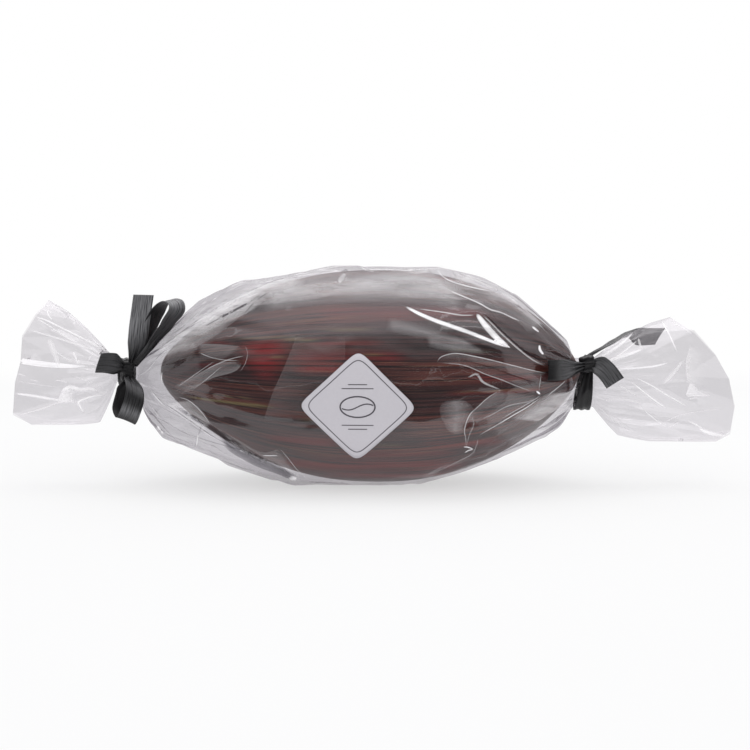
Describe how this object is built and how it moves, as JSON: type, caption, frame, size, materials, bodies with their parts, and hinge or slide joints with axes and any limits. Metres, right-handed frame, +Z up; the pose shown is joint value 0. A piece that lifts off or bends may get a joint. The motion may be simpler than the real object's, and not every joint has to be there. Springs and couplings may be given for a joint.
{
  "type": "chocolate cocoa pod in clear film",
  "caption": "Chocolate cocoa pod wrapped like a big sweet in clear film, tied at both ends with black satin bows, with a diamond label on its front.",
  "frame": {"origin": "middle of the bounding box in plan, on the surface that the film rests on", "axes": "+X along the pod towards the bluntly tied end with the long ribbon tail, -Y the front with the label, +Z up"},
  "size_m": [0.3625, 0.1073, 0.1084],
  "materials": {
    "chocolate": "dark chocolate brushed lengthwise with deep red, olive and brown, seen through clear film",
    "film": "clear glossy cellophane with sharp creases",
    "ribbon": "black satin with a soft sheen",
    "label": "smooth pale grey paper with a thin dark border line"
  },
  "bodies": {
    "root": {"wrapped_pod": "chocolate", "film_fan_left": "film", "film_fan_right": "film", "ribbon_left": "ribbon", "ribbon_right": "ribbon", "label": "label"}
  },
  "joints": []
}
